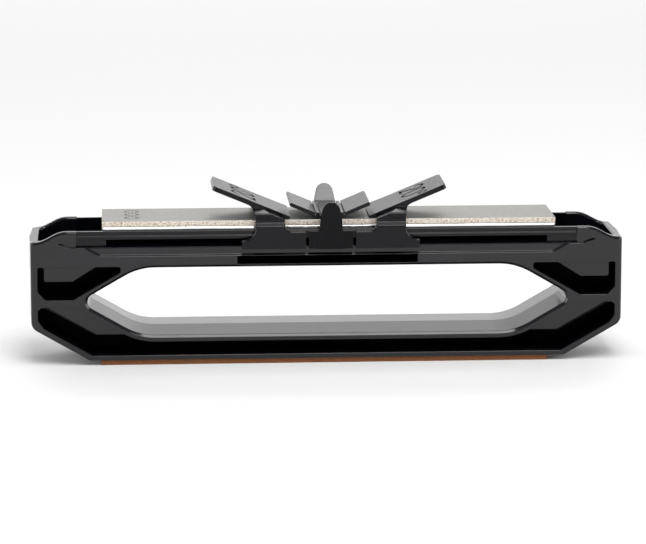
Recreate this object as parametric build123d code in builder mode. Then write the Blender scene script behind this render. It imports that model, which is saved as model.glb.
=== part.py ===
"""Hand-held diamond sharpener: a loop frame with a plate on top, a strop below and a clip-on angle guide.

X runs along the plate, -Y is the front, +Z is up. The origin lies under the middle of the strop, on the
surface that the sharpener stands on. All sizes are in millimetres.
"""
from build123d import *
from math import cos, radians, sin, tan
import os

os.makedirs("parts", exist_ok=True)

# Loop frame: measured on its front face unless a name says otherwise
frame_length = 200.0
frame_depth = 32.0
frame_top = 45.6
draft = 2.5
draft_run = frame_depth / 2 * tan(radians(draft))
plan_corner_r = 3.0
slope = 30.0
rise = tan(radians(slope))
foot_half = 79.95
outer_corner_r = 4.0
mid_web = 2.4
pocket_depth = (frame_depth - mid_web) / 2

# Hand opening, measured at the middle plane, where it is narrowest
opening_bottom = 10.8
opening_top = 32.5
opening_half_flat = 63.1
opening_tip_r = 2.0
opening_corner_r = 20.0
opening_chamfer = 0.8
rim = 2.1

# Slot along the middle of the upper beam
beam_slot_length = 60.6
beam_slot_bottom = 34.1
beam_slot_top = 36.9

# Ends of the frame: finger wells, sloped wall tops
wall = 2.6
well_inner_x = 75.3
well_outer_x = 96.6
well_step_x = 92.8
well_step_z = 35.5
well_floor_z = 31.0
wall_slope_x = 89.4
wall_end_x = 96.2
wall_end_z = 42.0
wall_slope_r = 9.0
wall_top_r = 0.8
well_corner_r = 2.5
band_y = 15.3

# Strop under the foot
strop_length = 150.6
strop_width = 30.4
strop_thick = 1.65
adhesive_thick = 0.15
strop_shift = -0.8
frame_bottom = strop_thick + adhesive_thick

# Plate carrier on top of the beam
seat_z = 40.0
seat_half = 84.0
lip_bottom = 42.7
lip_mid = 43.8
lip_top = 45.4
lip_y = 15.5
upper_lip_y = 14.8
lip_edge_r = 0.25
web_y = 11.4
web_knee = (12.4, 41.6)
web_foot = (14.5, 40.5)
end_web_y = 14.2
end_web_x = 74.1
key_width = 12.0
key_depth = 2.0
key_length = 146.0
key_gap = 0.1

# Diamond plate
plate_length = 152.4
plate_width = 25.4
backing_top = 46.45
plate_top = 48.45
plate_shift = 0.8

# Fixings under the plate
screw_x = (38.0, 68.0)
screw_r = 1.25
screw_head_r = 2.4
screw_gap = 0.1
screw_bottom = 35.0
screw_drive_r = 1.0
magnet_x = (16.0, 53.0)
magnet_r = 4.0
magnet_thick = 2.0
magnet_gap = 0.1

# Angle guide
guide_x = 1.0
guide_half = 29.8
skirt_inner = 15.9
skirt_outer = 18.0
skirt_bottom = 39.4
skirt_end_top = 42.4
window_bottom = 45.3
post_inner = 15.4
post_outer = 25.2
ramp_angle = 22.5
ramp_rise = tan(radians(ramp_angle))
ramp_inner = 13.4
ramp_outer = 38.8
ramp_inner_top = 49.25
ramp_thick = 1.6
ramp_half_width = 11.0
guide_floor = 48.75
gusset_drop = 1.0
wing_angle = 22.8
wing_root = 5.0
wing_tip = 13.25
wing_root_top = 50.65
bridge_top = 50.3
rib_grooves = (3.2, 4.85)
rib_groove_width = 0.45
rib_groove_depth = 0.9
wing_thick = 1.2
wing_half_width = 12.0
leg_half = 3.2
leg_inner = 13.1
strip_outer = 16.6
strip_bottom = 42.9
corner_r = 4.2
window_corner_r = 2.4
fold_r = 0.6
skirt_bevel = 0.45
numeral_depth = 0.35
numeral_start_x = 24.7
numeral_height = 9.0
numeral_width = 6.2
numeral_gap = 0.8
numeral_stroke = 1.0
degree_r = 1.7
mark_start = -7.8
leg_top_y = 15.2

# Squeeze tabs
tab_base_half = 4.4
tab_mid_half = 3.55
tab_mid_z = 50.0
tab_arch_half = 2.9
tab_arch_z = 53.0
tab_top = 55.45
tab_rim = 0.4
panel_half = 7.4
slit = 1.0
panel_back = 16.8
panel_step_z = 42.6
hook_bottom = 40.6
hook_top = 42.4
tab_front = 18.9
hook_reach = 15.0


def opening_face(grow):
    """Hexagonal hand opening with rounded corners, moved outwards by grow on every side."""
    middle = (opening_top + opening_bottom) / 2
    half_height = (opening_top - opening_bottom) / 2 + grow
    half_flat = opening_half_flat + grow * tan(radians(slope / 2))
    tip = half_flat + half_height / rise
    with BuildSketch() as sketch:
        with BuildLine():
            Polyline(
                (tip, middle),
                (half_flat, middle + half_height),
                (-half_flat, middle + half_height),
                (-tip, middle),
                (-half_flat, middle - half_height),
                (half_flat, middle - half_height),
                close=True,
            )
        make_face()
        fillet(sketch.vertices().group_by(Axis.Y)[1], opening_tip_r + grow)
        fillet(sketch.vertices().group_by(Axis.Y)[0], opening_corner_r + grow)
        fillet(sketch.vertices().group_by(Axis.Y)[-1], opening_corner_r + grow)
    return sketch.sketch


def mirrored_face(points, radius):
    """Closed outline on the +X side with all its corners rounded, and its mirror image on the -X side."""
    with BuildSketch() as sketch:
        with BuildLine():
            Polyline(*points, close=True)
        make_face()
        fillet(sketch.vertices(), radius)
        mirror(about=Plane.YZ)
    return sketch.sketch


def chamfer_line_z(x, inset):
    """Height of the sloped underside of the frame's end at x, moved inwards by inset."""
    return frame_bottom + (x - foot_half) * rise + inset / cos(radians(slope))


def ramp_z(x):
    """Height of the ramp's sloping top at x."""
    return ramp_inner_top + (x - ramp_inner) * ramp_rise


def ramp_under_z(x):
    """Height of the ramp's sloping underside at x."""
    return ramp_z(x) - ramp_thick / cos(radians(ramp_angle))


opening_mid = opening_face(0)
opening_rim = opening_face(draft_run + rim)

# Cored pockets, the same on the front and on the back. Each point is (x, z) on the +X side.
upper_pocket = mirrored_face(
    [
        (94.9, 28.7),
        (94.9, 33.6),
        (97.1, 33.6),
        (97.1, 25.2),
        (94.6, 22.4),
        (85.4, 22.4),
        (69.3, 31.7),
        (69.3, 33.6),
        (77.6, 33.6),
        (85.4, 28.7),
    ],
    0.7,
)
well_face = [(94.9, 28.7), (94.9, 33.45), (77.8, 33.45), (85.4, 28.7)]
end_web = [(95.2, 20.0), (86.0, 20.0), (83.6, 19.6), (67.0, 10.4), (77.8, 10.4), (94.3, 19.8)]
groove_tip = [(84.0, 40.0), (86.3, 40.0), (90.3, 41.4), (87.2, 42.7), (84.0, 42.7)]
guide_band = [(-81.5, 42.0), (-81.5, 40.0), (-76.0, 37.0), (76.0, 37.0), (81.5, 40.0), (81.5, 42.0)]

with BuildSketch() as lower_pocket:
    with BuildLine():
        Polyline(
            (0, 3.3),
            (78.8, 3.3),
            (95.4, 12.9),
            (97.1, 15.2),
            (97.1, 19.0),
            (95.9, 19.9),
            (94.3, 19.7),
            (77.8, 10.4),
            (0, 10.4),
            close=True,
        )
    make_face()
    mirror(about=Plane.YZ)
    add(opening_rim, mode=Mode.SUBTRACT)

with BuildPart() as frame:
    with BuildSketch(Plane.XZ) as outline:
        with BuildLine():
            half = frame_length / 2
            Polyline(
                (foot_half - 1.0 / rise, chamfer_line_z(foot_half, -draft_run) - 1.0),
                (half, chamfer_line_z(half, -draft_run)),
                (half, frame_top + 2),
                (-half, frame_top + 2),
                (-half, chamfer_line_z(half, -draft_run)),
                (1.0 / rise - foot_half, chamfer_line_z(foot_half, -draft_run) - 1.0),
                close=True,
            )
        make_face()
        fillet(outline.vertices().group_by(Axis.Y)[1], outer_corner_r)
    extrude(amount=frame_depth / 2, taper=draft, both=True)
    with BuildSketch(Plane.XY.offset(frame_bottom)):
        RectangleRounded(frame_length, frame_depth, plan_corner_r)
    extrude(amount=frame_top - frame_bottom, mode=Mode.INTERSECT)

    # Wall tops slope down towards both ends
    with BuildSketch(Plane.XZ) as end_slope:
        with BuildLine():
            Polyline(
                (wall_slope_x - 8, frame_top),
                (wall_slope_x, frame_top),
                (wall_end_x, wall_end_z),
                (frame_length, wall_end_z),
                (frame_length, frame_top + 4),
                (wall_slope_x - 8, frame_top + 4),
                close=True,
            )
        make_face()
        fillet(end_slope.vertices().sort_by(Axis.X)[2:4], wall_slope_r)
        mirror(about=Plane.YZ)
    extrude(amount=frame_depth, both=True, mode=Mode.SUBTRACT)

    # Hand opening, flaring from the parting plane towards both faces
    with BuildSketch(Plane.XZ):
        add(opening_mid)
    extrude(amount=frame_depth / 2, taper=-draft, both=True, mode=Mode.SUBTRACT)
    for side in (Plane.front, Plane.back):
        with BuildSketch(side.offset(frame_depth / 2 - opening_chamfer)):
            add(opening_face(draft_run))
        extrude(amount=2 * opening_chamfer, taper=-45, mode=Mode.SUBTRACT)

    # Seat and key slot for the plate carrier
    with BuildSketch(Plane.XY.offset(seat_z)):
        Rectangle(2 * seat_half, 2 * frame_depth)
    extrude(amount=frame_top, mode=Mode.SUBTRACT)
    with BuildSketch(Plane.XY.offset(seat_z - key_depth - key_gap)):
        Rectangle(key_length + 2 * key_gap, key_width + 2 * key_gap)
    extrude(amount=frame_top, mode=Mode.SUBTRACT)

    # Finger wells beyond the plate's ends
    with BuildSketch(Plane.XZ):
        with BuildLine():
            Polyline(
                (well_inner_x, frame_top + 2),
                (well_inner_x, 36.3),
                (85.6, well_floor_z),
                (well_step_x, well_floor_z),
                (well_step_x, well_step_z),
                (well_outer_x, well_step_z),
                (well_outer_x, frame_top + 2),
                close=True,
            )
        make_face()
        mirror(about=Plane.YZ)
    extrude(amount=frame_depth / 2 - wall, both=True, mode=Mode.SUBTRACT)
    uprights = frame.edges().filter_by(Axis.Z)
    inner_uprights = uprights.filter_by(lambda edge: abs(edge.center().Y) < frame_depth / 2 - wall + 0.1)
    fillet(inner_uprights.filter_by(lambda edge: abs(edge.center().X) > well_outer_x - 0.1), well_corner_r)
    wall_rims = frame.edges().filter_by(lambda edge: edge.bounding_box().min.Z > wall_end_z - 0.1)
    wall_rims = wall_rims.filter_by(lambda edge: edge.bounding_box().size.X > 0.1 or edge.length > 2 * wall)
    fillet(wall_rims, wall_top_r)

    # Pockets, recesses and side grooves, cut from the front and from the back
    for side in (Plane.front, Plane.back):
        with BuildSketch(side.offset(frame_depth / 2)):
            add(upper_pocket)
            add(lower_pocket.sketch)
            with Locations((0, (beam_slot_bottom + beam_slot_top) / 2)):
                Rectangle(beam_slot_length, beam_slot_top - beam_slot_bottom)
        extrude(amount=-pocket_depth, mode=Mode.SUBTRACT)
        for outline, depth in ((end_web, 1.0), (well_face, 0.3), (groove_tip, 1.7)):
            with BuildSketch(side.offset(frame_depth / 2)):
                with BuildLine():
                    Polyline(*outline, close=True)
                make_face()
                mirror(about=Plane.YZ)
                add(opening_rim, mode=Mode.SUBTRACT)
            extrude(amount=-depth, mode=Mode.SUBTRACT)
        with BuildSketch(side.offset(frame_depth / 2)) as band:
            with BuildLine():
                Polyline(*guide_band, close=True)
            make_face()
            fillet(band.vertices().group_by(Axis.Y)[0], 3.0)
        extrude(amount=band_y - frame_depth / 2, taper=40, mode=Mode.SUBTRACT)

    # Pilot holes for the carrier's screws
    with Locations(Plane.XY.offset(seat_z)):
        with Locations(*[(side * x, 0) for x in screw_x for side in (-1, 1)]):
            Hole(screw_r, depth=seat_z - screw_bottom)
frame.part.label = "frame"
export_step(frame.part, "parts/frame.step")

with BuildPart() as plate_carrier:
    # Web between the lips and the frame's seat, sloping outwards to its foot
    with BuildSketch(Plane.YZ):
        with BuildLine():
            Polyline(
                (0, seat_z),
                (lip_y, seat_z),
                (lip_y, seat_z + 0.1),
                web_foot,
                web_knee,
                (web_y, lip_bottom),
                (web_y, lip_mid),
                (0, lip_mid),
                close=True,
            )
        make_face()
        mirror(about=Plane.YZ)
    extrude(amount=seat_half, both=True)
    # Flange with stepped lips, whose flat top carries the plate
    with BuildSketch(Plane.YZ) as lips:
        with Locations((0, (lip_bottom + lip_top) / 2)):
            Rectangle(2 * upper_lip_y, lip_top - lip_bottom)
        with Locations((0, (lip_bottom + lip_mid) / 2)):
            Rectangle(2 * lip_y, lip_mid - lip_bottom)
        fillet(lips.vertices(), lip_edge_r)
    extrude(amount=seat_half, both=True)
    # Webs that close the ends of the side grooves
    with BuildSketch(Plane.XY.offset(seat_z)):
        Rectangle(2 * seat_half, 2 * end_web_y)
        Rectangle(2 * end_web_x, frame_depth, mode=Mode.SUBTRACT)
    extrude(amount=lip_mid - seat_z)
    # Open ends over the finger wells
    with BuildSketch(Plane.XY.offset(seat_z)):
        with Locations((frame_length / 2 + well_inner_x, 0), (-frame_length / 2 - well_inner_x, 0)):
            Rectangle(frame_length, frame_depth - 2 * wall)
    extrude(amount=frame_top, mode=Mode.SUBTRACT)
    # Locating key
    with BuildSketch(Plane.XY.offset(seat_z - key_depth)):
        Rectangle(key_length, key_width)
    extrude(amount=key_depth)
    # Countersunk screw holes and magnet pockets
    with Locations(Plane.XY.offset(lip_top)):
        with Locations(*[(side * x, 0) for x in screw_x for side in (-1, 1)]):
            CounterSinkHole(screw_r + screw_gap, screw_head_r + screw_gap)
        with Locations(*[(side * x, 0) for x in magnet_x for side in (-1, 1)]):
            Hole(magnet_r + magnet_gap, depth=magnet_thick + magnet_gap)
plate_carrier.part.label = "plate_carrier"
export_step(plate_carrier.part, "parts/plate_carrier.step")

with BuildPart() as carrier_screws:
    head_z = lip_top - 0.1
    with Locations(*[(side * x, 0, head_z) for x in screw_x for side in (-1, 1)]):
        head_height = screw_head_r - screw_r
        Cone(
            screw_r,
            screw_head_r,
            head_height,
            align=(Align.CENTER, Align.CENTER, Align.MAX),
        )
        Cylinder(screw_r, head_z - screw_bottom - 0.2, align=(Align.CENTER, Align.CENTER, Align.MAX))
    with BuildSketch(Plane.XY.offset(head_z)):
        with Locations(*[(side * x, 0) for x in screw_x for side in (-1, 1)]):
            RegularPolygon(screw_drive_r, 6)
    extrude(amount=-1.4, mode=Mode.SUBTRACT)
carrier_screws.part.label = "carrier_screws"
export_step(carrier_screws.part, "parts/carrier_screws.step")

with BuildPart() as plate_magnets:
    with Locations(*[(side * x, 0, lip_top) for x in magnet_x for side in (-1, 1)]):
        Cylinder(magnet_r, magnet_thick, align=(Align.CENTER, Align.CENTER, Align.MAX))
    chamfer(plate_magnets.edges().group_by(Axis.Z)[-1], 0.2)
plate_magnets.part.label = "plate_magnets"
export_step(plate_magnets.part, "parts/plate_magnets.step")

with BuildPart() as plate_backing:
    with BuildSketch(Plane.XY.offset(lip_top)):
        with Locations((plate_shift, 0)):
            RectangleRounded(plate_length, plate_width, 0.5)
    extrude(amount=backing_top - lip_top)
    chamfer(plate_backing.faces().filter_by(Axis.Z).edges(), 0.1)
plate_backing.part.label = "plate_backing"
export_step(plate_backing.part, "parts/plate_backing.step")

with BuildPart() as diamond_plate:
    with BuildSketch(Plane.XY.offset(backing_top)):
        with Locations((plate_shift, 0)):
            RectangleRounded(plate_length, plate_width, 0.5)
    extrude(amount=plate_top - backing_top)
    chamfer(diamond_plate.faces().filter_by(Axis.Z).edges(), 0.15)
diamond_plate.part.label = "diamond_plate"
export_step(diamond_plate.part, "parts/diamond_plate.step")

with BuildPart() as strop_adhesive:
    with BuildSketch(Plane.XY.offset(strop_thick)):
        with Locations((strop_shift, 0)):
            Rectangle(strop_length - 1, strop_width - 1)
    extrude(amount=adhesive_thick)
strop_adhesive.part.label = "strop_adhesive"
export_step(strop_adhesive.part, "parts/strop_adhesive.step")

with BuildPart() as leather_strop:
    with BuildSketch():
        with Locations((strop_shift, 0)):
            RectangleRounded(strop_length, strop_width, 1.0)
    extrude(amount=strop_thick)
leather_strop.part.label = "leather_strop"
export_step(leather_strop.part, "parts/leather_strop.step")

# Planes through the middle of the angle guide, and on its front and rear faces
guide_front = Plane(origin=(guide_x, 0, 0), x_dir=(1, 0, 0), z_dir=(0, -1, 0))
guide_side = Plane(origin=(guide_x, 0, 0), x_dir=(0, 1, 0), z_dir=(1, 0, 0))
skirt_front = Plane(origin=(guide_x, -skirt_outer, 0), x_dir=(1, 0, 0), z_dir=(0, -1, 0))
skirt_rear = Plane(origin=(guide_x, skirt_outer, 0), x_dir=(-1, 0, 0), z_dir=(0, 1, 0))

# Concave corners outside the posts, from the skirt's ends up to the ramps' undersides
with BuildSketch() as corner:
    with BuildLine():
        Polyline(
            (post_outer, skirt_end_top),
            (guide_half + 5, skirt_end_top),
            (guide_half + 5, ramp_under_z(guide_half + 5)),
            (post_outer, ramp_under_z(post_outer)),
            close=True,
        )
    make_face()
    fillet(corner.vertices().sort_by(Axis.X)[0:2], corner_r)
    mirror(about=Plane.YZ)

# Window between the posts
with BuildSketch() as window:
    with Locations((0, window_bottom)):
        Rectangle(2 * post_inner, frame_depth, align=(Align.CENTER, Align.MIN))
    fillet(window.vertices().group_by(Axis.Y)[0], window_corner_r)

# Angle marking, "20" and a degree ring, read along +X with its foot on the X axis
with BuildSketch() as marking:
    digit_2 = mark_start + numeral_width / 2
    digit_0 = digit_2 + numeral_width + numeral_gap
    degree_x = digit_0 + numeral_width / 2 + numeral_gap + degree_r
    middle = (numeral_width - numeral_stroke) / 2
    foot = numeral_stroke / 2
    with BuildLine():
        bow = ThreePointArc(
            (digit_2 - middle, numeral_height - foot - middle),
            (digit_2, numeral_height - foot),
            (digit_2 + middle, numeral_height - foot - middle),
        )
        Polyline(bow @ 1, (digit_2 - middle, foot), (digit_2 + middle, foot))
    trace(line_width=numeral_stroke)
    with Locations((digit_0, numeral_height / 2)):
        SlotOverall(numeral_height, numeral_width, rotation=90)
        SlotOverall(
            numeral_height - 2 * numeral_stroke,
            numeral_width - 2 * numeral_stroke,
            rotation=90,
            mode=Mode.SUBTRACT,
        )
    with Locations((degree_x, numeral_height - degree_r)):
        Circle(degree_r)
        Circle(degree_r - 0.7 * numeral_stroke, mode=Mode.SUBTRACT)

with BuildPart() as angle_guide:
    # Side walls: skirt, folded post and the gusset that carries the ramps
    with BuildSketch(guide_side):
        with BuildLine():
            folds = FilletPolyline(
                (skirt_outer, skirt_bottom),
                (skirt_outer, 47.0),
                (16.65, 48.2),
                (16.75, 49.1),
                (16.1, 51.1),
                (ramp_half_width, 52.2),
                radius=fold_r,
            )
            Polyline(
                folds @ 1,
                (ramp_half_width, 58.0),
                (9.6, 58.0),
                (9.6, 50.4),
                (13.3, 49.3),
                (14.4, 47.2),
                (skirt_inner, 45.9),
                (skirt_inner, skirt_bottom),
                folds @ 0,
            )
        make_face()
        mirror(about=Plane.YZ)
    extrude(amount=guide_half, both=True)
    for face in (skirt_front, skirt_rear):
        with BuildSketch(face.offset(-skirt_bevel)):
            add(corner.sketch)
            add(window.sketch)
        extrude(amount=2 * skirt_bevel, taper=-45, mode=Mode.SUBTRACT)
    with BuildSketch(guide_front):
        add(corner.sketch)
        add(window.sketch)
    extrude(amount=frame_depth, both=True, mode=Mode.SUBTRACT)
    # Everything above the ramps, and the shoulders beside them
    with BuildSketch(guide_front):
        with BuildLine():
            Polyline(
                (ramp_inner, ramp_z(ramp_inner) - gusset_drop),
                (guide_half + 1, ramp_z(guide_half + 1) - gusset_drop),
                (guide_half + 1, 62),
                (ramp_inner, 62),
                close=True,
            )
        make_face()
        mirror(about=Plane.YZ)
    extrude(amount=frame_depth, both=True, mode=Mode.SUBTRACT)
    # Ramps, with wedge-shaped inner ends
    tip_drop = ramp_thick * cos(radians(ramp_angle))
    with BuildSketch(guide_front):
        with BuildLine():
            Polyline(
                (ramp_inner, guide_floor),
                (ramp_inner, ramp_z(ramp_inner)),
                (ramp_outer, ramp_z(ramp_outer)),
                (ramp_outer + ramp_thick * sin(radians(ramp_angle)), ramp_z(ramp_outer) - tip_drop),
                (ramp_inner + (guide_floor - ramp_under_z(ramp_inner)) / ramp_rise, guide_floor),
                close=True,
            )
        make_face()
        mirror(about=Plane.YZ)
    extrude(amount=ramp_half_width, both=True)
    ramp_ends = angle_guide.faces().sort_by(Axis.X)
    for end in (ramp_ends[0], ramp_ends[-1]):
        fillet(end.edges().filter_by(Axis.Y, reverse=True), 1.8)
    # Markings engraved in the ramps, with their tops towards the outer ends
    for side in (-1, 1):
        ramp_top = Plane(
            origin=(guide_x + side * numeral_start_x, 0, ramp_z(numeral_start_x)),
            x_dir=(0, -side, 0),
            z_dir=(-side * sin(radians(ramp_angle)), 0, cos(radians(ramp_angle))),
        )
        with BuildSketch(ramp_top):
            add(marking.sketch)
        extrude(amount=-numeral_depth, mode=Mode.SUBTRACT)
    # Room for the sprung panels in both skirts, with the strip behind them left standing
    with BuildSketch(guide_side):
        for side in (-1, 1):
            with BuildLine():
                Polyline(
                    (side * strip_outer, 50),
                    (side * strip_outer, strip_bottom),
                    (side * (skirt_inner - 1), strip_bottom),
                    (side * (skirt_inner - 1), skirt_bottom - 1),
                    (side * (skirt_outer + 1), skirt_bottom - 1),
                    (side * (skirt_outer + 1), 50),
                    close=True,
                )
            make_face()
    extrude(amount=panel_half + slit, both=True, mode=Mode.SUBTRACT)
    # Legs behind the tabs, joining those strips to the bridge over the plate
    with BuildSketch(guide_side):
        with BuildLine():
            Polyline(
                (skirt_inner, window_bottom - 1.5),
                (strip_outer, window_bottom - 1.5),
                (strip_outer, 46.0),
                (15.6, 49.4),
                (leg_top_y, bridge_top),
                (wing_half_width - 1, bridge_top),
                (wing_half_width - 1, guide_floor),
                (leg_inner, guide_floor),
                (leg_inner, 46.6),
                (skirt_inner, 45.7),
                close=True,
            )
        make_face()
        mirror(about=Plane.YZ)
    extrude(amount=leg_half, both=True)
    with BuildSketch(guide_front):
        with Locations((0, guide_floor)):
            Rectangle(2 * wing_root + 0.6, wing_root_top - guide_floor, align=(Align.CENTER, Align.MIN))
    extrude(amount=wing_half_width, both=True)
    # Middle band of the bridge, a little lower than its ribs
    with BuildSketch(Plane.XY.offset(wing_root_top)):
        with Locations((guide_x, 0)):
            Rectangle(2 * rib_grooves[0], 3 * wing_half_width)
    extrude(amount=bridge_top - wing_root_top, mode=Mode.SUBTRACT)
    # Blade keeper wings over the ramps' inner ends
    with BuildSketch(guide_front) as wing:
        wing_rise = tan(radians(wing_angle))
        tip_z = wing_root_top + (wing_tip - wing_root) * wing_rise
        wing_drop = wing_thick * cos(radians(wing_angle))
        wing_run = wing_thick * sin(radians(wing_angle))
        with BuildLine():
            Polyline(
                (wing_root, wing_root_top),
                (wing_tip, tip_z),
                (wing_tip + wing_run, tip_z - wing_drop),
                (wing_root + wing_run, wing_root_top - wing_drop),
                close=True,
            )
        make_face()
        fillet(wing.vertices().sort_by(Axis.X)[2:4], wing_thick * 0.45)
        mirror(about=Plane.YZ)
    extrude(amount=wing_half_width, both=True)
    # Hinge lines beside the ribs of the bridge
    with BuildSketch(Plane.XY.offset(wing_root_top)):
        with Locations(*[(guide_x + side * x, 0) for x in rib_grooves for side in (-1, 1)]):
            Rectangle(rib_groove_width, 3 * wing_half_width)
    extrude(amount=-rib_groove_depth, mode=Mode.SUBTRACT)
angle_guide.part.label = "angle_guide"
export_step(angle_guide.part, "parts/angle_guide.step")


def squeeze_tab(side):
    """Arched tab with its sprung panel and latch hook; side is -1 for the front and 1 for the rear."""
    with BuildPart() as tab:
        with BuildSketch(guide_side):
            with BuildLine():
                Polyline(
                    (side * panel_back, skirt_bottom),
                    (side * tab_front, skirt_bottom),
                    (side * tab_front, 45.8),
                    (side * 21.0, 56.0),
                    (side * 20.4, 56.0),
                    (side * 20.0, 55.3),
                    (side * 17.35, 49.8),
                    (side * 17.0, 48.0),
                    (side * panel_back, 46.2),
                    close=True,
                )
            make_face()
        extrude(amount=tab_base_half, both=True)
        with BuildSketch(guide_front):
            with BuildLine():
                arch = ThreePointArc((-tab_arch_half, tab_arch_z), (0, tab_top), (tab_arch_half, tab_arch_z))
                Polyline(
                    arch @ 1,
                    (tab_mid_half, tab_mid_z),
                    (tab_base_half, skirt_bottom),
                    (-tab_base_half, skirt_bottom),
                    (-tab_mid_half, tab_mid_z),
                    arch @ 0,
                )
            make_face()
        extrude(amount=frame_depth, both=True, mode=Mode.INTERSECT)
        outer_faces = tab.faces().filter_by(lambda face: face.normal_at().Y * side > 0.9)
        outer_rim = outer_faces.edges().filter_by(lambda edge: edge.bounding_box().size.Z > 0.5)
        chamfer(outer_rim, tab_rim)
        # Panel in the skirt's opening, its thicker foot, and the hook under the carrier's lip
        with BuildSketch(guide_side):
            with BuildLine():
                Polyline(
                    (side * panel_back, window_bottom),
                    (side * skirt_outer, window_bottom),
                    (side * skirt_outer, skirt_bottom),
                    (side * skirt_inner, skirt_bottom),
                    (side * skirt_inner, hook_bottom),
                    (side * hook_reach, hook_bottom + 0.4),
                    (side * hook_reach, hook_top),
                    (side * skirt_inner, hook_top),
                    (side * skirt_inner, panel_step_z),
                    (side * panel_back, panel_step_z),
                    close=True,
                )
            make_face()
        extrude(amount=panel_half, both=True)
    return tab.part


for name, side in (("front_squeeze_tab", -1), ("rear_squeeze_tab", 1)):
    tab_solid = squeeze_tab(side)
    tab_solid.label = name
    export_step(tab_solid, f"parts/{name}.step")
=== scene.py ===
from math import cos, radians, sin, tau

import bpy
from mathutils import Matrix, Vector


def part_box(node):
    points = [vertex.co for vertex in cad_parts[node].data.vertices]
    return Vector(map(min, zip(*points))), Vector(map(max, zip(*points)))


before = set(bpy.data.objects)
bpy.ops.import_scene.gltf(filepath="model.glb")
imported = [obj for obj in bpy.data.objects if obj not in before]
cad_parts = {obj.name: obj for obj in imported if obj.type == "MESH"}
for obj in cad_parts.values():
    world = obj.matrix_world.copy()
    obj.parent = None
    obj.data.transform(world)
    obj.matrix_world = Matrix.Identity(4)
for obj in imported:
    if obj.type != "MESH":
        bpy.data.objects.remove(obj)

MM = 0.001

# Faces that hold a second material: painted shade on the pocket floors, painted light on the tabs' leaning
# faces
POCKET_FLOOR_Y = 1.5 * MM
THUMB_FACE_Z = 49.9 * MM

# Three dotted rings on the diamond plate
MARK_X = -65.4 * MM
MARK_Y = 0.6 * MM
MARK_PITCH = 6.2 * MM
MARK_ROW_HALF = 1.5 * MARK_PITCH
MARK_RADIUS = 2.15 * MM
MARK_DOTS = 11
DOT_RADIUS = 0.44 * MM
DOT_BLUR = 0.08 * MM

# Black mouldings: colour, roughness and index of refraction
FRAME_BLACK, FRAME_ROUGH, FRAME_INDEX = (0.0024, 0.0022, 0.0036), 0.09, 1.5
# The pocket floors get a darker copy of the frame's black: painted shade in the pockets
POCKET_SHADE_BLACK, POCKET_ROUGH, POCKET_INDEX = (0.001, 0.001, 0.0013), 0.5, 1.12
CARRIER_BLACK, CARRIER_ROUGH, CARRIER_INDEX = (0.0012, 0.0014, 0.0026), 0.12, 1.36
GUIDE_BLACK, GUIDE_ROUGH, GUIDE_INDEX = (0.002, 0.002, 0.0032), 0.2, 1.33
TAB_BLACK, TAB_ROUGH, TAB_INDEX = (0.0012, 0.0012, 0.002), 0.2, 1.25
# The tabs' leaning faces get a smoother moulding whose base is about ten times lighter than the tabs' black;
# the lighter base is painted light
THUMB_LIT_BLACK, THUMB_ROUGH, THUMB_INDEX = (0.012, 0.012, 0.012), 0.2, 1.6
FINE_GRAIN = 0.004 * MM
THUMB_GRAIN = 0.006 * MM

# Metals
STEEL = (0.99, 0.987, 0.98)
ZINC = (0.66, 0.67, 0.70)
NICKEL = (0.75, 0.72, 0.66)

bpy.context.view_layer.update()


# ---------------------------------------------------------------- node helpers

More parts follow.
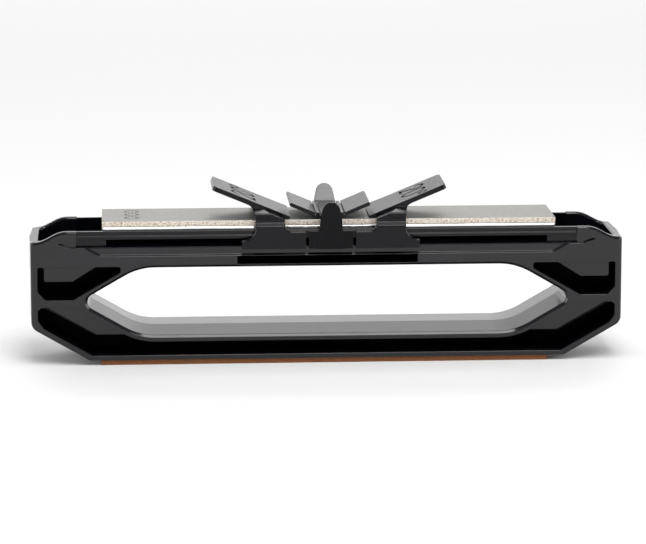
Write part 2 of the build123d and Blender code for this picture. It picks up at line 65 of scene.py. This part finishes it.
class Nodes:
    """A material's or world's node tree, with one short method for each kind of node that is used here."""

    def __init__(self, owner):
        self.tree = owner.node_tree
        self.links = self.tree.links

    def add(self, kind, inputs=(), **settings):
        """A new node with its settings, and with (socket, value or output) pairs put into its inputs."""
        node = self.tree.nodes.new(kind)
        for key, value in settings.items():
            setattr(node, key, value)
        for socket, value in inputs:
            self.put(node, socket, value)
        return node

    def put(self, node, socket, value):
        """Links an output to the socket, or sets the socket's own value."""
        if isinstance(value, bpy.types.NodeSocket):
            self.links.new(value, node.inputs[socket])
        else:
            node.inputs[socket].default_value = value

    def position(self):
        """Place in the object's own space, in metres, which is the row frame at rest."""
        return self.add("ShaderNodeTexCoord").outputs["Object"]

    def stretched(self, vector, scale):
        """The vector with each component multiplied by its own factor."""
        node = self.add("ShaderNodeVectorMath", [(0, vector), (1, scale)], operation="MULTIPLY")
        return node.outputs[0]

    def axis(self, vector, name):
        """One component of a vector."""
        return self.add("ShaderNodeSeparateXYZ", [(0, vector)]).outputs[name]

    def math(self, operation, a, b=0.0):
        """A math node's result."""
        return self.add("ShaderNodeMath", [(0, a), (1, b)], operation=operation).outputs[0]

    def length(self, a, b):
        """Length of the hypotenuse over two sides."""
        return self.math("SQRT", self.math("ADD", self.math("MULTIPLY", a, a), self.math("MULTIPLY", b, b)))

    def noise(self, vector, size, detail=3.0, rough=0.5):
        """Noise from 0 to 1 whose features are about size metres across."""
        inputs = [("Vector", vector), ("Scale", 1 / size), ("Detail", detail), ("Roughness", rough)]
        return self.add("ShaderNodeTexNoise", inputs).outputs["Fac"]

    def cells(self, vector, size, feature="F1"):
        """Distance to the middle of Voronoi cells about size metres across."""
        inputs = [("Vector", vector), ("Scale", 1 / size)]
        return self.add("ShaderNodeTexVoronoi", inputs, feature=feature).outputs["Distance"]

    def spread(self, value, low, high, to_low=0.0, to_high=1.0):
        """The value's range from low to high, carried over to another range and clamped there."""
        limits = [("From Min", low), ("From Max", high), ("To Min", to_low), ("To Max", to_high)]
        return self.add("ShaderNodeMapRange", [("Value", value), *limits]).outputs["Result"]

    def colour(self, value, *stops):
        """A colour ramp with (place, (r, g, b)) stops."""
        node = self.add("ShaderNodeValToRGB", [(0, value)])
        ramp = node.color_ramp
        while len(ramp.elements) < len(stops):
            ramp.elements.new(0.5)
        for element, (place, rgb) in zip(ramp.elements, stops):
            element.position = place
            element.color = (*rgb, 1)
        return node.outputs["Color"]

    def mixed(self, factor, a, b):
        """Colour a at factor 0 and colour b at factor 1."""
        node = self.add("ShaderNodeMix", data_type="RGBA")
        self.put(node, 0, factor)
        self.put(node, 6, a if isinstance(a, bpy.types.NodeSocket) else (*a, 1))
        self.put(node, 7, b if isinstance(b, bpy.types.NodeSocket) else (*b, 1))
        return node.outputs[2]

    def bump(self, height, depth, normal=None):
        """A normal from a height field from 0 to 1 that stands depth metres tall."""
        inputs = [("Height", height), ("Distance", depth), ("Strength", 1.0)]
        if normal is not None:
            inputs.append(("Normal", normal))
        return self.add("ShaderNodeBump", inputs).outputs["Normal"]

    def rounded(self, radius):
        """Normal that runs smoothly round sharp edges, as on a moulded or deburred piece."""
        return self.add("ShaderNodeBevel", [("Radius", radius)], samples=6).outputs["Normal"]


def shaded(colour, factor):
    """The colour with every component multiplied by factor."""
    return tuple(c * factor for c in colour)


def new_material(name, **constants):
    """A Principled material with constant sockets; returns it, its Nodes and its shader node."""
    made = bpy.data.materials.new(name)
    made.use_nodes = True
    shader = made.node_tree.nodes["Principled BSDF"]
    for socket, value in constants.items():
        shader.inputs[socket.replace("_", " ")].default_value = value
    return made, Nodes(made), shader


def dress(node_name, made):
    """Gives a CAD node its material."""
    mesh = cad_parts[node_name].data
    mesh.materials.clear()
    mesh.materials.append(made)


# ---------------------------------------------------------------- materials

def parting_line(n, place):
    """1 along the mould's parting line in the middle of the depth, 0 elsewhere."""
    return n.spread(n.math("ABSOLUTE", n.axis(place, "Y")), 0.08 * MM, 0.2 * MM, 1.0, 0.0)


def moulded_black(name, base, rough, edge_radius, grain_depth, index):
    """Satin black moulding: faint flow marks, fine grain, rubbed lighter patches and soft edges."""
    made, n, shader = new_material(name, IOR=index)
    place = n.position()
    flow = n.noise(n.stretched(place, (0.35, 1.0, 1.0)), 14 * MM, detail=4.0)
    grain = n.noise(place, 0.35 * MM, detail=2.0)
    rub = n.noise(n.stretched(place, (0.2, 1.0, 1.0)), 2.2 * MM, detail=5.0, rough=0.65)
    n.put(shader, "Base Color", n.mixed(n.spread(flow, 0.35, 0.7), base, shaded(base, 1.9)))
    worn = n.spread(rub, 0.45, 0.8, rough, rough + 0.12)
    n.put(shader, "Roughness", n.math("ADD", worn, n.spread(flow, 0.3, 0.7, -0.03, 0.03)))
    seam = n.math("MULTIPLY", parting_line(n, place), -1.0)
    soft = n.bump(seam, 0.15 * MM, n.rounded(edge_radius))
    n.put(shader, "Normal", n.bump(grain, grain_depth, soft))
    return made


def spark_textured_black(name, base, rough, index):
    """Matte black moulding with the fine pebbled finish of a spark-eroded mould."""
    made, n, shader = new_material(name, IOR=index)
    place = n.position()
    pebble = n.cells(place, 0.32 * MM, feature="SMOOTH_F1")
    fine = n.noise(place, 0.14 * MM, detail=2.0)
    tone = n.noise(place, 6 * MM, detail=3.0)
    n.put(shader, "Base Color", n.mixed(n.spread(tone, 0.35, 0.7), base, shaded(base, 1.8)))
    n.put(shader, "Roughness", n.spread(fine, 0.3, 0.7, rough - 0.05, rough + 0.08))
    height = n.math("ADD", pebble, n.math("MULTIPLY", fine, 0.5))
    n.put(shader, "Normal", n.bump(height, 0.03 * MM, n.rounded(0.3 * MM)))
    return made


def ring_marks(n, place):
    """1 on the dots of three dotted rings near the plate's left end, 0 elsewhere."""
    across = n.math("SUBTRACT", n.axis(place, "X"), MARK_X)
    along = n.math("SUBTRACT", n.axis(place, "Y"), MARK_Y)
    in_row = n.math("LESS_THAN", n.math("ABSOLUTE", along), MARK_ROW_HALF)
    turn = n.math("DIVIDE", n.math("ADD", along, MARK_ROW_HALF), MARK_PITCH)
    local = n.math("MULTIPLY", n.math("SUBTRACT", n.math("FRACT", turn), 0.5), MARK_PITCH)
    radius = n.length(across, local)
    share = n.math("MULTIPLY", n.math("ARCTAN2", local, across), MARK_DOTS / tau)
    step = n.math("SUBTRACT", n.math("FRACT", share), 0.5)
    sideways = n.math("MULTIPLY", step, tau * MARK_RADIUS / MARK_DOTS)
    off = n.math("SUBTRACT", radius, MARK_RADIUS)
    gap = n.length(off, sideways)
    return n.math("MULTIPLY", in_row, n.spread(gap, DOT_RADIUS - DOT_BLUR, DOT_RADIUS + DOT_BLUR, 1.0, 0.0))


def diamond_grit():
    """Nickel plating full of diamond grit; its ground side shows the warmer, coarser layer below."""
    made, n, shader = new_material("diamond_grit")
    low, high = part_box("diamond_plate")
    place = n.position()
    grit = n.cells(place, 0.22 * MM)
    fine = n.noise(place, 0.1 * MM, detail=3.0, rough=0.7)
    cloud = n.noise(place, 9 * MM, detail=4.0)
    speck = n.noise(place, 0.45 * MM, detail=2.0, rough=0.6)
    top = n.mixed(n.spread(speck, 0.35, 0.65), (0.22, 0.214, 0.2), (0.36, 0.352, 0.334))
    top = n.mixed(n.spread(cloud, 0.3, 0.7, 0.0, 0.35), top, (0.28, 0.274, 0.257))
    marks = ring_marks(n, place)
    top = n.mixed(marks, top, (0.004, 0.004, 0.004))
    n.put(shader, "Metallic", n.math("SUBTRACT", 1.0, marks))
    flecks = n.noise(n.stretched(place, (1.0, 1.0, 1.6)), 0.7 * MM, detail=5.0, rough=0.75)
    side = n.colour(
        flecks,
        (0.36, (0.30, 0.17, 0.12)),
        (0.45, (0.80, 0.66, 0.56)),
        (0.53, (0.96, 0.90, 0.80)),
        (0.62, (1.0, 0.98, 0.93)),
    )
    height = n.axis(place, "Z")
    on_side = n.spread(height, high.z - 0.14 * MM, high.z - 0.10 * MM, 1.0, 0.0)
    joint = n.spread(height, low.z + 0.12 * MM, low.z + 0.3 * MM, 0.75, 0.0)
    side = n.mixed(joint, side, (0.10, 0.08, 0.07))
    n.put(shader, "Base Color", n.mixed(on_side, top, side))
    matte = n.math("MULTIPLY", marks, 0.35)
    n.put(shader, "Roughness", n.math("ADD", n.spread(fine, 0.3, 0.7, 0.42, 0.6), matte))
    relief = n.math("ADD", grit, n.math("MULTIPLY", fine, 0.6))
    relief = n.math("SUBTRACT", relief, n.math("MULTIPLY", marks, 3.0))
    n.put(shader, "Normal", n.bump(relief, 0.03 * MM))
    return made


def ground_metal(name, base, rough, line_size):
    """Bright metal with fine grinding lines along X."""
    made, n, shader = new_material(name, Metallic=1.0)
    place = n.position()
    lines = n.noise(n.stretched(place, (0.02, 1.0, 1.0)), line_size, detail=3.0)
    stain = n.noise(place, 7 * MM, detail=3.0)
    n.put(shader, "Base Color", n.mixed(n.spread(stain, 0.4, 0.7), base, shaded(base, 0.9)))
    n.put(shader, "Roughness", n.spread(lines, 0.3, 0.7, rough, rough + 0.12))
    n.put(shader, "Normal", n.bump(lines, 0.004 * MM))
    return made


def suede_leather():
    """Vegetable-tanned strop leather with a napped face below, and painted shade darkening the top of its cut
    edge under the tape.
    """
    made, n, shader = new_material("suede_leather", Sheen_Weight=0.04, Sheen_Roughness=0.5, IOR=1.45)
    shader.inputs["Sheen Tint"].default_value = (0.95, 0.75, 0.55, 1)
    strop_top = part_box("leather_strop")[1].z
    place = n.position()
    fibres = n.noise(n.stretched(place, (0.25, 1.0, 1.6)), 0.35 * MM, detail=5.0, rough=0.7)
    mottle = n.noise(place, 5 * MM, detail=5.0, rough=0.6)
    body = n.mixed(n.spread(fibres, 0.3, 0.7), (0.14, 0.05, 0.016), (0.33, 0.135, 0.05))
    body = n.mixed(n.spread(mottle, 0.35, 0.7, 0.0, 0.5), body, (0.24, 0.09, 0.033))
    # Painted shade: the top 0.3 mm of the leather's edge, under the tape and frame, is darkened
    top_edge_shade = n.spread(n.axis(place, "Z"), strop_top - 0.3 * MM, strop_top, 0.0, 0.35)
    n.put(shader, "Base Color", n.mixed(top_edge_shade, body, (0.09, 0.036, 0.02)))
    n.put(shader, "Roughness", n.spread(fibres, 0.3, 0.7, 0.75, 0.95))
    pores = n.cells(place, 0.6 * MM)
    height = n.math("ADD", fibres, n.math("MULTIPLY", pores, 0.5))
    n.put(shader, "Normal", n.bump(height, 0.12 * MM))
    return made


def transfer_tape():
    """Thin layer of transfer adhesive, yellowish and uneven."""
    made, n, shader = new_material("transfer_tape", IOR=1.47)
    place = n.position()
    streaks = n.noise(n.stretched(place, (0.3, 1.0, 1.0)), 2 * MM, detail=4.0)
    n.put(shader, "Base Color", n.mixed(streaks, (0.45, 0.38, 0.24), (0.66, 0.6, 0.45)))
    n.put(shader, "Roughness", n.spread(streaks, 0.3, 0.7, 0.35, 0.6))
    n.put(shader, "Normal", n.bump(streaks, 0.03 * MM))
    return made


def dress_faces(node_name, made, wanted):
    """Gives a node's faces for which wanted(centre, normal) holds a second material."""
    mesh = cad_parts[node_name].data
    mesh.materials.append(made)
    for face in mesh.polygons:
        if wanted(face.center, face.normal):
            face.material_index = 1


def is_pocket_floor(centre, normal):
    """The frame's middle web at the bottom of the front and rear pockets."""
    return abs(centre.y) < POCKET_FLOOR_Y and abs(normal.y) > 0.9


def is_thumb_face(centre, normal):
    """The tabs' smooth leaning faces, which look at each other."""
    return centre.z > THUMB_FACE_Z and normal.y * centre.y < 0 and abs(normal.y) > 0.5


def dress_all():
    """Every CAD node gets its material."""
    body = moulded_black("frame_plastic", FRAME_BLACK, FRAME_ROUGH, 0.45 * MM, FINE_GRAIN, FRAME_INDEX)
    dress("frame", body)
    # Painted shade: the pocket floors get a darker copy of the frame's moulding
    pocket = moulded_black("pocket_painted_shade", POCKET_SHADE_BLACK, POCKET_ROUGH, 0.35 * MM, FINE_GRAIN, POCKET_INDEX)
    dress_faces("frame", pocket, is_pocket_floor)
    rail = moulded_black("carrier_plastic", CARRIER_BLACK, CARRIER_ROUGH, 0.2 * MM, FINE_GRAIN, CARRIER_INDEX)
    dress("plate_carrier", rail)
    dress("angle_guide", spark_textured_black("guide_plastic", GUIDE_BLACK, GUIDE_ROUGH, GUIDE_INDEX))
    tab = spark_textured_black("tab_plastic", TAB_BLACK, TAB_ROUGH, TAB_INDEX)
    # Painted light: the tabs' leaning faces get a lighter, smoother copy of the tabs' black
    thumb = moulded_black("thumb_plastic_painted_light", THUMB_LIT_BLACK, THUMB_ROUGH, 0.3 * MM, THUMB_GRAIN, THUMB_INDEX)
    for name in ("front_squeeze_tab", "rear_squeeze_tab"):
        dress(name, tab)
        dress_faces(name, thumb, is_thumb_face)
    dress("diamond_plate", diamond_grit())
    dress("plate_backing", ground_metal("ground_steel", STEEL, 0.06, 0.2 * MM))
    dress("carrier_screws", ground_metal("zinc_plate", ZINC, 0.3, 0.3 * MM))
    dress("plate_magnets", ground_metal("nickel_plate", NICKEL, 0.15, 0.4 * MM))
    dress("leather_strop", suede_leather())
    dress("strop_adhesive", transfer_tape())


# ---------------------------------------------------------------- studio

FLOOR_SIZE = 14.0
FLOOR_COLOUR = (0.88, 0.88, 0.88)
OBJECT_MIDDLE = (0, 0, 0.02)

# Brightness behind the camera, at both sides, behind the object and overhead
ROOM = 0.3
SIDE_WALLS = 0.75
BACKDROP = 1.08
CEILING = 0.35

CAMERA_AZIMUTH = -3.63
CAMERA_ELEVATION = 10.95
CAMERA_DISTANCE = 1.2
CAMERA_PIVOT = (0.85 * MM, 0.0, 20.4 * MM)
CAMERA_AIM = (-0.6 * MM, 0.0, 28.1 * MM)
CAMERA_LENS = 196.5


def build_floor():
    """Plain pale floor that fills the view."""
    half = FLOOR_SIZE / 2
    mesh = bpy.data.meshes.new("floor")
    corners = [(-half, -half, 0), (half, -half, 0), (half, half, 0), (-half, half, 0)]
    mesh.from_pydata(corners, [], [(0, 1, 2, 3)])
    floor = bpy.data.objects.new("floor", mesh)
    bpy.context.scene.collection.objects.link(floor)
    made, n, shader = new_material("pale_floor", Roughness=0.7, IOR=1.3)
    cloud = n.noise(n.position(), 0.3, detail=2.0)
    n.put(shader, "Base Color", n.mixed(cloud, FLOOR_COLOUR, shaded(FLOOR_COLOUR, 0.985)))
    mesh.materials.append(made)


def build_world():
    """White studio walls, darker towards the open room on the camera's side."""
    world = bpy.data.worlds.new("studio")
    bpy.context.scene.world = world
    world.use_nodes = True
    n = Nodes(world)
    background = world.node_tree.nodes["Background"]
    direction = n.add("ShaderNodeTexCoord").outputs["Generated"]
    depth = n.axis(direction, "Y")
    low = n.spread(n.axis(direction, "Z"), 0.22, 0.6, 1.0, 0.0)
    front_to_side = n.spread(depth, -0.5, 0.1, ROOM, SIDE_WALLS)
    side_to_back = n.spread(depth, 0.3, 0.9, 0.0, BACKDROP - SIDE_WALLS)
    walls = n.math("SUBTRACT", n.math("ADD", front_to_side, side_to_back), CEILING)
    n.put(background, "Color", (1.0, 1.0, 1.0, 1))
    n.put(background, "Strength", n.math("ADD", n.math("MULTIPLY", walls, low), CEILING))


def add_softbox(name, place, target, size, watts):
    """Rectangular area light at place, facing target."""
    data = bpy.data.lights.new(name, "AREA")
    data.shape = "RECTANGLE"
    data.size, data.size_y = size
    data.energy = watts
    lamp = bpy.data.objects.new(name, data)
    lamp.location = place
    lamp.rotation_mode = "QUATERNION"
    lamp.rotation_quaternion = (Vector(target) - Vector(place)).to_track_quat("-Z", "Y")
    bpy.context.scene.collection.objects.link(lamp)


def build_camera():
    """Long lens, a little above the object and a little to its left."""
    data = bpy.data.cameras.new("camera")
    data.lens = CAMERA_LENS
    data.sensor_width = 36.0
    data.clip_start, data.clip_end = 0.05, 50.0
    camera = bpy.data.objects.new("camera", data)
    a, e = radians(CAMERA_AZIMUTH), radians(CAMERA_ELEVATION)
    back = Vector((sin(a) * cos(e), -cos(a) * cos(e), sin(e)))
    camera.location = Vector(CAMERA_PIVOT) + CAMERA_DISTANCE * back
    camera.rotation_mode = "QUATERNION"
    camera.rotation_quaternion = (Vector(CAMERA_AIM) - camera.location).to_track_quat("-Z", "Y")
    bpy.context.scene.collection.objects.link(camera)
    bpy.context.scene.camera = camera


def build_studio():
    """Floor, walls, lamps and camera."""
    build_floor()
    build_world()
    add_softbox("key", (0.1, -0.55, 0.95), OBJECT_MIDDLE, (0.43, 0.95), 8.4)
    add_softbox("left_strip", (-1.25, -0.15, 0.5), OBJECT_MIDDLE, (0.5, 0.9), 4.6)
    add_softbox("right_strip", (1.25, -0.15, 0.5), OBJECT_MIDDLE, (0.5, 0.9), 5.2)
    add_softbox("far_floor", (0, 2.3, 1.6), (0, 2.0, 0), (3.0, 1.6), 36.0)
    build_camera()
    bpy.context.scene.view_settings.view_transform = "Standard"


dress_all()
build_studio()
